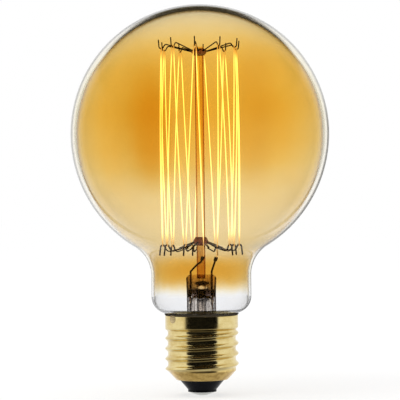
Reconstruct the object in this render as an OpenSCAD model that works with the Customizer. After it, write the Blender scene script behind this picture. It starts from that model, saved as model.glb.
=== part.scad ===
// Globe bulb with a caged carbon filament and a brass screw cap.
// Z is the bulb's axis, with the tip of the centre contact at the origin and the globe above it.
// Azimuths are counted from +X towards +Y, and the front of the bulb faces -Y.

/* [Glass bulb] */
// Diameter of the globe
globe_d = 92; // [88:0.5:96]
// How far the arc below the equator swells beyond the radius of the globe
lower_swell = 1; // [0.5:0.1:4]
// Wall of the globe at the equator and above, thinning out to the neck's wall below
globe_wall = 1.8; // [1.2:0.1:2.2]
// Outer diameter of the neck
neck_d = 35.6; // [33:0.2:38]
// Wall of the neck and of the sealed end
neck_wall = 1; // [0.8:0.05:1.3]
// Height of the straight neck under the shoulder
neck_h = 7.4; // [6:0.1:14]
// Radius of the hollow shoulder between globe and neck
shoulder_r = 12; // [8:0.1:13]
// Radius of the rounded lower end of the neck
bowl_r = 6.2; // [6:0.1:7.6]
// Height of the rounded end above the rim of the cap
rim_gap = 0.7; // [0.6:0.05:1]
// Room for the side lead between the sealed end and the shell
seal_gap = 1.15; // [0.95:0.05:1.4]
// Radius between the rounded end and the sealed end
seal_fillet = 1.5; // [1.3:0.1:1.8]
// How far the sealed end reaches below the rim of the cap
seal_depth = 8.9; // [7.5:0.1:10]
// Thickness of the amber lining
lining_t = 0.15; // [0.1:0.01:0.3]
// Height at which the lining stops above the rounded end
lining_lift = 1; // [0.2:0.1:2]

/* [Stem] */
// Outer diameter of the stem tube
stem_d = 10.4; // [10:0.1:11]
// Wall of the stem tube
stem_wall = 0.9; // [0.8:0.05:1]
// Radius of the trumpet turn of the flare
flare_r = 5; // [4.5:0.1:5.5]
// Angle that the flare turns out by
flare_angle = 62; // [55:1:66]
// Height of the upright lip at the foot of the flare
flare_lip = 1.5; // [1:0.1:2]
// Height of the top of the press above the rim of the cap
press_rise = 14.5; // [14:0.1:17]
// Height of the solid press
press_h = 7.8; // [7:0.1:8.6]
// Width of the press
press_w = 10.8; // [10.6:0.1:11.6]
// Thickness of the press between its flats
press_t = 5; // [4.4:0.1:6]
// Corner radius at the top of the press
press_corner = 1.6; // [1:0.1:1.8]
// Outer diameter of the exhaust tube
exhaust_d = 3.2; // [2.8:0.1:3.6]
// Wall of the exhaust tube
exhaust_wall = 0.6; // [0.4:0.05:0.7]
// Length of the exhaust tube
exhaust_l = 26; // [22:0.5:27]
// How far the exhaust tube goes into the press
exhaust_seat = 2.6; // [1.5:0.1:3]
// Diameter of the hole from the exhaust tube into the globe
blow_hole_d = 1.4; // [1:0.1:1.6]
// Diameter of the support rod
rod_d = 3.1; // [2.6:0.1:3.4]
// How far the rod goes into the press
rod_seat = 1.5; // [1:0.1:2]

/* [Filament cage] */
// Height of the lower bead above the press
lower_rise = 12.9; // [12:0.1:14]
// Distance of the upper bead from the crown of the globe
crown_gap = 16.9; // [16.5:0.1:24]
// Diameter of the beads
bead_d = 6; // [5.4:0.1:6.4]
// Height of the upper bead
upper_bead_h = 2.4; // [2:0.1:3]
// Height of the lower bead
lower_bead_h = 2.9; // [2.4:0.1:3.4]
// Edge radius of the widest part of the beads
bead_edge = 0.5; // [0.4:0.05:0.6]
// How far the rod stands out of the upper bead
rod_proud = 0.6; // [0.2:0.1:1.5]
// Number of hooks on the upper bead, with one fewer on the lower bead
hooks = 10; // [7:1:11]
// Azimuth of the first upper hook
cage_start = -60; // [-66:1:-54]
// Radius of the cage, to the seats of the hooks
cage_r = 13.7; // [12.5:0.1:15]
// Diameter of the support wires
support_d = 0.44; // [0.36:0.02:0.5]
// Slope of the upper support wires
upper_slope = 15; // [8:1:20]
// Slope of the lower support wires
lower_slope = 21; // [12:1:26]
// Depth of the upper hooks
upper_drop = 1.5; // [1.2:0.1:2]
// Depth of the lower hooks
lower_drop = 2.3; // [1.8:0.1:2.8]
// Length of the straight tip of the upper hooks
upper_tip = 2.3; // [1.5:0.1:3.5]
// Length of the straight tip of the lower hooks
lower_tip = 3.4; // [2:0.1:4]
// Bend radius at the seat of a hook
hook_r = 0.8; // [0.72:0.02:1]
// Bend radius where a support wire turns into its hook
knee_r = 0.9; // [0.6:0.05:1.2]
// Diameter of the filament
filament_d = 0.32; // [0.24:0.02:0.36]
// How far a strand of the filament bows out between its hooks
strand_bow = 0.5; // [0:0.1:1]

/* [Lead wires] */
// Diameter of the inner lead wires
lead_d = 0.72; // [0.6:0.02:0.8]
// Diameter of the wires sealed in the press
seal_wire_d = 0.7; // [0.6:0.02:0.76]
// How far the sealed wires stand out of the press
seal_wire_proud = 0.4; // [0.2:0.1:0.8]
// How far the sealed wires hang below the press
seal_wire_drop = 2; // [1:0.1:3]
// Diameter of the outer leads inside the cap
outer_lead_d = 0.3; // [0.24:0.02:0.34]
// Height of the left clamp above the press
left_clamp_rise = 6.3; // [5.6:0.1:7]
// Distance of the left clamp from the axis, to the right
left_clamp_x = 0.5; // [0:0.1:1]
// Height at which the left lead bends towards its clamp, above the press
left_bend_rise = 3.7; // [3.2:0.1:4.2]
// Distance of that bend from the axis, to the left
left_bend_x = 1.5; // [1:0.1:2]
// Height of the right clamp above the press
right_clamp_rise = 5.9; // [5.2:0.1:6.6]
// Distance of the right clamp from the axis, to the right
right_clamp_x = 5.2; // [4.6:0.1:5.6]
// Diameter of the filament clamps
clamp_d = 1.3; // [1.1:0.05:1.5]
// Length of the filament clamps
clamp_l = 1.6; // [1.2:0.1:2]

/* [Screw cap] */
// Diameter over the crests of the thread
thread_d = 26.2; // [26:0.05:26.45]
// Depth of the thread
thread_depth = 1; // [0.9:0.05:1.15]
// Pitch of the thread
thread_pitch = 3.629; // [3.5:0.001:3.75]
// Height of the shell from its lower lip to its rim
shell_h = 22.9; // [21.5:0.1:25]
// Sheet thickness of the shell
shell_wall = 0.35; // [0.25:0.01:0.4]
// How far the plain collar under the rim lies inside the crests
collar_in = 0.1; // [0:0.05:0.2]
// Height of the plain collar
collar_h = 4.8; // [3.9:0.1:5]
// Height of the taper above the lower lip
taper_h = 3.2; // [2.8:0.1:4.2]
// How far the taper draws in
taper_in = 2.9; // [2.4:0.1:3.2]
// Diameter of the opening inside the lower lip
lip_d = 16.2; // [15.4:0.1:16.6]
// Height of the insulator below the lip
insulator_h = 4.3; // [3:0.1:4.5]
// Height of the insulator above the lip
insulator_seat = 1.8; // [1.2:0.1:2.4]
// Diameter of the foot of the insulator
insulator_foot_d = 10.2; // [9.8:0.1:11.5]
// Height of the upright edge of that foot
insulator_foot_h = 0.8; // [0.7:0.1:1.2]
// Diameter of the centre contact
contact_d = 9; // [8:0.1:9.4]
// Height of the solder dome of the contact
contact_h = 1.4; // [1:0.1:1.8]
// Thickness of the contact plate above the solder
contact_plate_t = 0.5; // [0.3:0.05:0.6]
// Azimuth of the side solder joint
side_azimuth = 218; // [212:1:224]
// How far the side solder stands out of the collar
side_solder_proud = 0.7; // [0.65:0.05:0.9]
// Radius that the side solder is rounded to
side_solder_r = 2; // [1.8:0.1:2.6]

/* [Hidden] */
// Clearance between pieces that are set in each other
fit = 0.03;
// Clearance round the outer leads, and between insulator and shell
wire_clear = 0.1;
insulator_gap = 0.3;
// How far the side lead dips below the sealed end
side_lead_dip = 1.2;
// Clearance of a sealed wire from the tube, and of a clamp from the lower bead
tube_clear = 0.2;
clamp_clear = 0.6;
// Steps of the arcs in the profiles
arc_step = 3;
// Sides of the wires and of the thread's grid, and grid rows in one pitch
wire_sides = 6;
shell_sides = 36;
pitch_rows = 6;
// Directions of the hooks: fall into the seat, and rise of the tip
hook_fall = 60;
hook_rise = 85;
// Height below the rim at which a crest passes the left side of the cap
left_crest = 11.8;
// How fast the taper curves in, and half the height over which the thread fades at its ends
taper_power = 1.35;
thread_fade = 0.6;
// Directions of the two clamps
left_dir = unit([0.35, -0.1, 1]);
right_dir = unit([0.3, -0.25, 1]);
// Steps of a full circle, and of the small solder drop
round_fn = 64;
fine_fn = 200;

globe_r = globe_d / 2;
lower_r = globe_r + lower_swell;
neck_r = neck_d / 2;
crest_r = thread_d / 2;
collar_r = crest_r - collar_in;
root_r = crest_r - thread_depth;
seal_r = root_r - shell_wall - seal_gap;
lip_r = lip_d / 2;
// Share of a radius of the shell that is left in the middle of its flats
flat_share = cos(180 / shell_sides);

lip_z = contact_h + insulator_h;
rim_z = lip_z + shell_h;
taper_z = lip_z + taper_h;
collar_z = rim_z - collar_h;
seal_z = rim_z - seal_depth;
bowl_x = neck_r - bowl_r;
bowl_z = rim_z + rim_gap + sqrt(pow(bowl_r, 2) - pow(collar_r - bowl_x, 2));
seal_fillet_x = seal_r + seal_fillet;
bowl_turn = acos((seal_fillet_x - bowl_x) / (bowl_r + seal_fillet));
seal_fillet_z = bowl_z - (bowl_r + seal_fillet) * sin(bowl_turn);
shoulder_x = neck_r + shoulder_r;
shoulder_drop = sqrt(pow(lower_r + shoulder_r, 2) - pow(shoulder_x + lower_swell, 2));
globe_z = bowl_z + neck_h + shoulder_drop;
crown_z = globe_z + globe_r;

stem_r = stem_d / 2;
stem_bore_r = stem_r - stem_wall;
foot_r = seal_r - neck_wall;
flare_x = stem_r + flare_r;
flare_end_x = flare_x - flare_r * cos(flare_angle);
flare_z = seal_z + flare_lip + (foot_r - flare_end_x) / tan(flare_angle) + flare_r * sin(flare_angle);
press_top = rim_z + press_rise;
press_z = press_top - press_h;
exhaust_r = exhaust_d / 2;
exhaust_top = press_z + exhaust_seat;
exhaust_tip = exhaust_top - exhaust_l;
rod_r = rod_d / 2;

bead_r = bead_d / 2;
bead_neck_r = rod_r + bead_edge * 0.8;
bead_lift = bead_edge * 0.7;
lower_bead_z = press_top + lower_rise;
upper_bead_z = crown_z - crown_gap;
hook_step = 360 / hooks;
support_r = support_d / 2;
support_root = rod_r + support_r + wire_clear;
filament_r = filament_d / 2;
strand_turn_r = support_r + filament_r + fit * 2;

lead_x = stem_bore_r - tube_clear - seal_wire_d / 2;
lead_r = lead_d / 2;
seal_wire_top = press_top + seal_wire_proud;
seal_wire_foot = press_z - seal_wire_drop;
clamp_y = -(bead_r + clamp_clear);
left_clamp = [left_clamp_x, clamp_y, press_top + left_clamp_rise];
left_bend = [-left_bend_x, clamp_y, press_top + left_bend_rise];
right_clamp = [right_clamp_x, clamp_y / 2, press_top + right_clamp_rise];

outer_lead_r = outer_lead_d / 2;
side_lead_r = seal_r + seal_gap / 2;
side_lead_over = rim_z + outer_lead_r + wire_clear;
side_lead_out = collar_r + outer_lead_r + wire_clear * 1.5;
side_solder_z = rim_z - side_solder_r / 2;
side_lead_foot = rim_z - side_solder_r / 3;
insulator_z = lip_z + shell_wall + fit;
insulator_top = insulator_z + insulator_seat;
insulator_neck_r = lip_r * flat_share - fit;
contact_r = contact_d / 2;
cement_r = (collar_r - shell_wall) * flat_share - fit;
cement_foot = collar_z + thread_fade + fit;

UPPER = [for (k = [1:hooks]) str("upper_support_", k)];
LOWER = [for (k = [1:hooks - 1]) str("lower_support_", k)];

// Vectors and paths

function unit(v) = v / norm(v);
function polar(r, azimuth, z) = [r * cos(azimuth), r * sin(azimuth), z];
function on_circle(c, r, a) = c + r * [cos(a), sin(a)];

// Points of an arc, with an even number of steps near arc_step
function arc(c, r, from, to) =
    let (n = 2 * ceil(abs(to - from) / arc_step / 2))
    [for (i = [0:n]) on_circle(c, r, from + (to - from) * i / n)];

// A smooth curve through the points, with n steps between each two
function curve_point(a, b, c, d, u) =
    (2 * b + (c - a) * u + (2 * a - 5 * b + 4 * c - d) * u * u + (3 * b - a - 3 * c + d) * u * u * u) / 2;
function smooth(p, n) =
    let (last = len(p) - 1)
    concat(
        [for (i = [0:last - 1], j = [0:n - 1])
            curve_point(p[max(i - 1, 0)], p[i], p[i + 1], p[min(i + 2, last)], j / n)],
        [p[last]]
    );

// Directions along a path, and the sideways vectors that follow it without twisting
function headings(p) =
    let (last = len(p) - 1)
    [for (i = [0:last])
        let (before = i > 0 ? unit(p[i] - p[i - 1]) : [0, 0, 0])
        let (after = i < last ? unit(p[i + 1] - p[i]) : [0, 0, 0])
        unit(before + after)];
function across(v) = unit(cross(v, abs(v.z) < 0.7 ? [0, 0, 1] : [1, 0, 0]));
function level(n, t) = unit(n - (n * t) * t);
function sideways(t) = [for (i = 0, n = across(t[0]); i < len(t);
    i = i + 1, n = level(n, t[min(i, len(t) - 1)])) n];

// A round wire along a path, closed at both ends
module wire(path, r) {
    t = headings(path);
    n = sideways(t);
    s = wire_sides;
    last = (len(path) - 1) * s;
    points = [for (i = [0:len(path) - 1], k = [0:s - 1])
        path[i] + r * (cos(360 * k / s) * n[i] + sin(360 * k / s) * cross(t[i], n[i]))];
    sides = [for (i = [0:s:last - s], k = [0:s - 1])
        let (a = i + k, b = i + (k + 1) % s)
        each [[a, a + s, b + s], [a, b + s, b]]];
    ends = [for (k = [1:s - 2]) each [[0, k, k + 1], [last, last + k + 1, last + k]]];
    polyhedron(points, concat(sides, ends), convexity = 6);
}

// Children drawn along Z are moved to a point and turned to a direction
module along(point, dir) {
    translate(point)
        rotate([0, acos(dir.z), atan2(dir.y, dir.x)])
            children();
}

module revolve(points) {
    rotate_extrude($fn = round_fn)
        polygon(points);
}

// Glass

// Profile from the crown down to the neck, set in by one amount in the globe and another in the neck
// The arc below the equator is swelled so that it runs into the hollow shoulder without a kink
function dome_profile(globe_in, neck_in) =
    let (dome_r = globe_r - globe_in)
    let (hollow_r = shoulder_r + neck_in)
    let (reach = dome_r + hollow_r)
    let (swell = (pow(shoulder_x, 2) + pow(shoulder_drop, 2) - pow(reach, 2)) / (reach - shoulder_x) / 2)
    let (turn = atan2(shoulder_drop, shoulder_x + swell))
    concat(
        arc([0, globe_z], dome_r, 90, 0),
        arc([-swell, globe_z], dome_r + swell, -arc_step, -turn),
        arc([shoulder_x, globe_z - shoulder_drop], hollow_r, 180 - turn + arc_step, 180)
    );

// Profile from the rounded end of the neck down to the sealed end
function tail_profile(neck_in) = concat(
    arc([bowl_x, bowl_z], bowl_r - neck_in, 0, -bowl_turn),
    arc([seal_fillet_x, seal_fillet_z], seal_fillet + neck_in, 180 - bowl_turn + arc_step, 180),
    [[seal_r - neck_in, seal_z]]
);

function reversed(p) = [for (i = [len(p) - 1:-1:0]) p[i]];

module glass_envelope() {
    color([0.93, 0.95, 0.95, 0.3])
        revolve(concat(
            dome_profile(0, 0),
            tail_profile(0),
            reversed(tail_profile(neck_wall)),
            reversed(dome_profile(globe_wall, neck_wall))
        ));
}

module amber_lining() {
    outer = dome_profile(globe_wall + fit, neck_wall + fit);
    inner = dome_profile(globe_wall + fit + lining_t, neck_wall + fit + lining_t);
    foot_z = bowl_z + lining_lift;
    color([0.88, 0.62, 0.2, 0.6])
        revolve(concat(
            outer,
            [[neck_r - neck_wall - fit, foot_z], [neck_r - neck_wall - fit - lining_t, foot_z]],
            reversed(inner)
        ));
}

function flare_outside() = concat(
    [[foot_r, seal_z], [foot_r, seal_z + flare_lip]],
    arc([flare_x, flare_z], flare_r, 180 + flare_angle, 180),
    [[stem_r, press_z]],
    arc([press_w / 2 - press_corner, press_top - press_corner], press_corner, 0, 90),
    [[0, press_top]]
);

// The bore narrows to a dome under the press
function flare_inside() =
    let (turn_r = flare_r + stem_wall)
    let (end = on_circle([flare_x, flare_z], turn_r, 180 + flare_angle))
    let (lip_in = foot_r - stem_wall)
    let (dome_r = stem_bore_r / 2)
    concat(
        [[lip_in, seal_z], [lip_in, end.y - (lip_in - end.x) / tan(flare_angle)]],
        arc([flare_x, flare_z], turn_r, 180 + flare_angle, 180),
        arc([stem_bore_r - dome_r, press_z - dome_r], dome_r, 0, 90),
        [[0, press_z]]
    );

// What is squeezed away on one side of the press
module press_flat() {
    slope_run = press_h / 3;
    side = press_w;
    rotate([90, 0, 90])
        linear_extrude(height = press_w * 2, center = true)
            polygon([
                [press_t / 2, press_z + slope_run],
                [press_t / 2, press_top + slope_run],
                [side, press_top + slope_run],
                [side, press_z - slope_run],
                [stem_r + stem_wall / 2, press_z - slope_run / 2]
            ]);
}

module stem_flare() {
    hole_z = exhaust_top + blow_hole_d / 2;
    color([0.85, 0.87, 0.86, 0.5])
        difference() {
            revolve(concat(flare_outside(), reversed(flare_inside())));
            press_flat();
            mirror([0, 1, 0])
                press_flat();
            for (x = [-lead_x, lead_x])
                translate([x, 0, seal_wire_foot])
                    cylinder(h = press_h * 2, r = seal_wire_d / 2 + fit, $fn = round_fn);
            translate([0, 0, press_top - rod_seat])
                cylinder(h = press_h, r = rod_r + fit, $fn = round_fn);
            translate([0, 0, press_z - stem_wall])
                cylinder(h = exhaust_seat + blow_hole_d + stem_wall, r = exhaust_r + fit, $fn = round_fn);
            translate([0, 0, hole_z])
                rotate([90, 0, 0])
                    cylinder(h = press_w, r = blow_hole_d / 2, $fn = round_fn);
        }
}

module exhaust_tube() {
    bore_r = exhaust_r - exhaust_wall;
    end_c = [0, exhaust_tip + exhaust_r];
    color([0.85, 0.87, 0.86, 0.5])
        revolve(concat(
            arc(end_c, exhaust_r, -90, 0),
            [[exhaust_r, exhaust_top], [bore_r, exhaust_top]],
            arc(end_c, bore_r, 0, -90)
        ));
}

module support_rod() {
    foot = press_top - rod_seat;
    color([0.9, 0.9, 0.86, 0.5])
        translate([0, 0, foot])
            cylinder(h = upper_bead_z + upper_bead_h / 2 + rod_proud - foot, r = rod_r, $fn = round_fn);
}

// A bead on the rod, drawn out to a cone below its widest part, with a socket for each support wire
module bead(h, count, first, slope) {
    difference() {
        revolve(concat(
            [[rod_r + fit, -h / 2], [bead_neck_r, -h / 2]],
            arc([bead_r - bead_edge, bead_lift], bead_edge, -30, 30),
            [[bead_neck_r + fit * 2, h / 2], [rod_r + fit, h / 2]]
        ));
        for (k = [0:count - 1])
            rotate([0, 0, first + k * hook_step])
                translate([support_root, 0, 0])
                    rotate([0, 90 - slope, 0])
                        cylinder(h = bead_d, r = support_r + fit, $fn = round_fn);
    }
}

module upper_button() {
    color([0.45, 0.27, 0.18])
        translate([0, 0, upper_bead_z])
            bead(upper_bead_h, hooks, cage_start, upper_slope);
}

// The lower bead is the other way up
module lower_button() {
    color([0.45, 0.27, 0.18])
        translate([0, 0, lower_bead_z])
            mirror([0, 0, 1])
                bead(lower_bead_h, hooks - 1, cage_start + hook_step / 2, lower_slope);
}

// Filament cage

// Side view of a hooked support wire, as radius and height, with the seat of the hook at height zero
function hook_profile(slope, drop, tip) =
    let (seat_c = [cage_r, hook_r])
    let (fall = (drop - (knee_r + hook_r) * (1 - cos(hook_fall))) / sin(hook_fall))
    let (knee_end = on_circle(seat_c, hook_r, -90 - hook_fall) + fall * [-cos(hook_fall), sin(hook_fall)])
    let (knee_c = knee_end - knee_r * [sin(hook_fall), cos(hook_fall)])
    let (knee_start = on_circle(knee_c, knee_r, 90 + slope))
    let (root_z = knee_start.y - (knee_start.x - support_root) * tan(slope))
    let (tip_start = on_circle(seat_c, hook_r, hook_rise - 90))
    concat(
        [[support_root, root_z]],
        [for (i = [0:4]) on_circle(knee_c, knee_r, 90 + slope - (slope + hook_fall) * i / 4)],
        [for (i = [0:6]) on_circle(seat_c, hook_r, -90 - hook_fall + (hook_fall + hook_rise) * i / 6)],
        [tip_start + tip * [cos(hook_rise), sin(hook_rise)]]
    );

upper_hook = hook_profile(upper_slope, upper_drop, upper_tip);
lower_hook = hook_profile(lower_slope, lower_drop, lower_tip);
upper_seat_z = upper_bead_z - upper_hook[0].y;
lower_seat_z = lower_bead_z + lower_hook[0].y;

function upper_azimuth(k) = cage_start + k * hook_step;
function lower_azimuth(k) = cage_start + (k + 0.5) * hook_step;

module upper_support(k) {
    color([0.25, 0.2, 0.16])
        wire([for (p = upper_hook) polar(p.x, upper_azimuth(k), upper_seat_z + p.y)], support_r);
}

module lower_support(k) {
    color([0.25, 0.2, 0.16])
        wire([for (p = lower_hook) polar(p.x, lower_azimuth(k), lower_seat_z - p.y)], support_r);
}

// Half turn of the filament round a hook: over an upper one, or under a lower one
turn_steps = 8;
function strand_turn(azimuth, z, over) =
    [for (i = [0:turn_steps])
        let (a = 180 - 180 * i / turn_steps)
        polar(cage_r, azimuth, z)
            + strand_turn_r * (cos(a) * [-sin(azimuth), cos(azimuth), 0] + over * [0, 0, sin(a)])];

// Points between two ends of a strand, bowed away from the axis
strand_steps = 4;
function strand(a, b) =
    [for (i = [1:strand_steps - 1])
        let (p = a + (b - a) * i / strand_steps)
        p + strand_bow * sin(180 * i / strand_steps) * unit([p.x, p.y, 0])];

function filament_turns() =
    [for (k = [0:2 * hooks - 2])
        k % 2 == 0
            ? strand_turn(upper_azimuth(k / 2), upper_seat_z, 1)
            : strand_turn(lower_azimuth((k - 1) / 2), lower_seat_z, -1)];

// The whole filament, from the right clamp round the cage to the left clamp
function filament_path() =
    let (turns = filament_turns())
    let (last = len(turns) - 1)
    let (from = [right_clamp + fit * 2 * right_dir, right_clamp + clamp_l * right_dir])
    let (to = [left_clamp + clamp_l * left_dir, left_clamp + fit * 2 * left_dir])
    concat(
        from,
        strand(from[1], turns[0][0]),
        [for (k = [0:last]) each concat(
            turns[k],
            k < last ? strand(turns[k][turn_steps], turns[k + 1][0]) : []
        )],
        strand(turns[last][turn_steps], to[0]),
        to
    );

// Least gap between points of the filament that lie at least a half turn apart
function least_gap(p) =
    let (last = len(p) - 1)
    min([for (i = [0:last - turn_steps], j = [i + turn_steps:last]) norm(p[i] - p[j])]) - filament_d;

module filament() {
    path = filament_path();
    echo(filament_least_gap_to_itself = least_gap(path));
    color([1, 0.85, 0.4])
        wire(path, filament_r);
}

// Leads

// An upright start on the sealed wire, a curve through the bends, and a straight end in the clamp
module lead_wire(x, bends, c, dir) {
    start = [x, 0, seal_wire_top];
    curve = concat([start + [0, 0, lead_d]], bends, [c - clamp_l * dir]);
    color([0.2, 0.15, 0.1])
        wire(concat([start], smooth(curve, 4), [c - fit * dir]), lead_r);
}

// A rounded sleeve with the lead in its lower end and the filament in its upper end
module filament_clamp(c, dir) {
    edge = (clamp_d / 2 - lead_r) / 2;
    end = clamp_l / 2 - edge;
    side = clamp_d / 2 - edge;
    color([0.15, 0.13, 0.12])
        along(c, dir)
            revolve(concat(
                [[0, 0], [lead_r + fit, 0], [lead_r + fit, -clamp_l / 2]],
                arc([side, -end], edge, -90, 0),
                arc([side, end], edge, 0, 90),
                [[filament_r + fit, clamp_l / 2], [filament_r + fit, fit], [0, fit]]
            ));
}

module outer_lead(points) {
    color([0.72, 0.42, 0.26])
        wire(smooth(points, 3), outer_lead_r);
}

module seal_wire(x) {
    color([0.72, 0.38, 0.22])
        translate([x, 0, seal_wire_foot])
            cylinder(h = seal_wire_top - seal_wire_foot, r = seal_wire_d / 2, $fn = round_fn);
}

// From the left sealed wire, out below the sealed end, up beside it and over the rim
module side_lead() {
    a = side_azimuth;
    under = seal_z - side_lead_dip;
    points = [
        [-lead_x, 0, seal_wire_foot],
        [-lead_x, 0, flare_z],
        polar(lead_x + stem_wall, (180 + a) / 2, (flare_z + seal_z) / 2),
        polar(foot_r - flare_r / 2, a, seal_z),
        polar(foot_r, a, under),
        polar(side_lead_r - outer_lead_d, a, under + outer_lead_d),
        polar(side_lead_r, a, seal_z + outer_lead_d * 2),
        polar(side_lead_r, a, cement_foot),
        polar(side_lead_r, a, seal_fillet_z),
        polar(side_lead_r, a, seal_fillet_z + outer_lead_r),
        polar((side_lead_r + seal_fillet_x) / 2 - outer_lead_r, a, side_lead_over - outer_lead_d),
        polar(seal_fillet_x, a, side_lead_over),
        polar(collar_r, a, side_lead_over),
        polar(side_lead_out, a, rim_z),
        polar(side_lead_out, a, side_lead_foot)
    ];
    outer_lead(points);
}

// From the right sealed wire, past the tip of the exhaust tube, down to the contact
module centre_lead() {
    beside = exhaust_r + exhaust_wall;
    above = insulator_top + exhaust_d / 4;
    points = [
        [lead_x, 0, seal_wire_foot],
        [lead_x, 0, flare_z],
        [beside + outer_lead_d, 0, exhaust_tip + exhaust_d],
        [beside, 0, exhaust_tip],
        [outer_lead_d, 0, above + outer_lead_d],
        [0, 0, above],
        [0, 0, insulator_top],
        [0, 0, contact_h + fit]
    ];
    outer_lead(points);
}

// Screw cap

function ease(from, to, v) =
    let (u = min(max((v - from) / (to - from), 0), 1))
    u * u * (3 - 2 * u);

// Radius of the shell without its thread
function body_r(z) =
    z >= taper_z ? root_r : root_r - taper_in * pow((taper_z - z) / taper_h, taper_power);

// Outer radius of the shell: a right-hand thread of narrow round crests, under a plain collar
function shell_r(z, azimuth) =
    let (phase = 360 * (z - rim_z + left_crest) / thread_pitch - azimuth + 180)
    let (crest = pow((1 + cos(phase)) / 2, 2) * ease(taper_z - thread_fade, taper_z + thread_fade, z))
    let (collar = ease(collar_z - thread_fade, collar_z + thread_fade, z))
    (body_r(z) + thread_depth * crest) * (1 - collar) + collar_r * collar;

module cap_shell() {
    taper_rows = 4;
    row_h = thread_pitch / pitch_rows;
    thread_rows = floor((collar_z - taper_z) / row_h);
    heights = concat(
        [for (i = [0:taper_rows - 1]) lip_z + taper_h * i / taper_rows],
        [for (i = [0:thread_rows]) taper_z + row_h * i],
        [collar_z + thread_fade, rim_z]
    );
    rows = len(heights);
    loop = 2 * rows + 2;
    points = [for (j = [0:shell_sides - 1])
        let (a = 360 * j / shell_sides)
        each concat(
            [polar(lip_r, a, lip_z)],
            [for (z = heights) polar(shell_r(z, a), a, z)],
            [for (i = [rows - 1:-1:0])
                let (z = max(heights[i], lip_z + shell_wall))
                polar(shell_r(z, a) - shell_wall, a, z)],
            [polar(lip_r, a, lip_z + shell_wall)]
        )];
    faces = [for (j = [0:shell_sides - 1], i = [0:loop - 1])
        let (next_j = (j + 1) % shell_sides, next_i = (i + 1) % loop)
        let (p = j * loop + i, q = next_j * loop + i, r = next_j * loop + next_i, s = j * loop + next_i)
        each [[p, s, r], [p, r, q]]];
    color([0.84, 0.7, 0.42])
        polyhedron(points, faces, convexity = 10);
}

module capping_cement() {
    color([0.8, 0.76, 0.68])
        difference() {
            revolve([
                [seal_r, cement_foot], [cement_r, cement_foot],
                [cement_r, seal_fillet_z], [seal_r, seal_fillet_z]
            ]);
            translate(polar(side_lead_r, side_azimuth, collar_z))
                cylinder(h = collar_h, r = outer_lead_r + wire_clear, $fn = round_fn);
        }
}

module cap_insulator() {
    hole_r = outer_lead_r + wire_clear;
    plate_z = contact_h + contact_plate_t;
    rows = 3;
    color([0.06, 0.06, 0.09])
        revolve(concat(
            [[hole_r, plate_z + fit], [contact_r + fit, plate_z + fit], [contact_r + fit, contact_h]],
            [[insulator_foot_d / 2, contact_h], [insulator_foot_d / 2, contact_h + insulator_foot_h]],
            [[insulator_neck_r, lip_z], [insulator_neck_r, insulator_z]],
            [for (i = [0:rows])
                let (z = insulator_z + insulator_seat * i / rows)
                [body_r(z) - shell_wall - insulator_gap, z]],
            [[hole_r, insulator_top]]
        ));
}

module contact_plate() {
    color([0.8, 0.65, 0.38])
        translate([0, 0, contact_h])
            difference() {
                cylinder(h = contact_plate_t, r = contact_r, $fn = round_fn);
                translate([0, 0, -contact_plate_t])
                    cylinder(h = contact_plate_t * 3, r = outer_lead_r + wire_clear, $fn = round_fn);
            }
}

module contact_solder() {
    dome_r = (pow(contact_r, 2) + pow(contact_h, 2)) / (2 * contact_h);
    turn = asin(contact_r / dome_r);
    color([0.72, 0.72, 0.7])
        revolve(concat(arc([0, dome_r], dome_r, -90, turn - 90), [[0, contact_h]]));
}

// A drop of solder on the collar, over the end of the side lead, with a groove where the lead comes in
module side_solder() {
    groove_r = outer_lead_r + wire_clear;
    color([0.66, 0.64, 0.6])
        difference() {
            translate(polar(collar_r + side_solder_proud - side_solder_r, side_azimuth, side_solder_z))
                sphere(r = side_solder_r, $fn = fine_fn);
            cylinder(h = rim_z * 2, r = collar_r + fit, $fn = fine_fn);
            translate(polar(side_lead_out, side_azimuth, side_lead_foot - fit))
                cylinder(h = side_solder_r * 2, r = groove_r, $fn = round_fn);
            translate([0, 0, side_lead_over])
                rotate([0, 90, side_azimuth])
                    cylinder(h = side_lead_out, r = groove_r, $fn = round_fn);
        }
}

glass_envelope();
amber_lining();
stem_flare();
exhaust_tube();
support_rod();
upper_button();
lower_button();
for (k = [0:len(UPPER) - 1])
    upper_support(k);
for (k = [0:len(LOWER) - 1])
    lower_support(k);
filament();
lead_wire(-lead_x, [left_bend], left_clamp, left_dir);  // lead_wire_left
lead_wire(lead_x, [], right_clamp, right_dir);  // lead_wire_right
filament_clamp(left_clamp, left_dir);  // filament_clamp_left
filament_clamp(right_clamp, right_dir);  // filament_clamp_right
seal_wire(-lead_x);  // seal_wire_left
seal_wire(lead_x);  // seal_wire_right
side_lead();
centre_lead();
cap_shell();
capping_cement();
cap_insulator();
contact_plate();
contact_solder();
side_solder();
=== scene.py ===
import math

import bpy
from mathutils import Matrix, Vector


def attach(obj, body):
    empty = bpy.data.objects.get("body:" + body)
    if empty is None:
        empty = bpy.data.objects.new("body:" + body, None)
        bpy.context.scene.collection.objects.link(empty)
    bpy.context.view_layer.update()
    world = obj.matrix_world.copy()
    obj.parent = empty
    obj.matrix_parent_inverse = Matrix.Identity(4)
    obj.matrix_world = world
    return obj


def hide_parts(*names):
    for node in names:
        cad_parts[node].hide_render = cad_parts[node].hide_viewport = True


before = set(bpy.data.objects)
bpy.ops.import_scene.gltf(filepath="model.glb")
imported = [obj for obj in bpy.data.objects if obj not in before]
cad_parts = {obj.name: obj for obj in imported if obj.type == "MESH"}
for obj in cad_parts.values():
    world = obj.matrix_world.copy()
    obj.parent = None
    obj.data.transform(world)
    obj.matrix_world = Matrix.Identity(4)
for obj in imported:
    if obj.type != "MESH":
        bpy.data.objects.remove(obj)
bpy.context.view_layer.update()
mm = 0.001  # sizes below are in millimetres, meshes in metres
print("frame loaded:", len(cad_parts), "nodes")


# paths and meshes, all in millimetres until makePiece scales them

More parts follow.
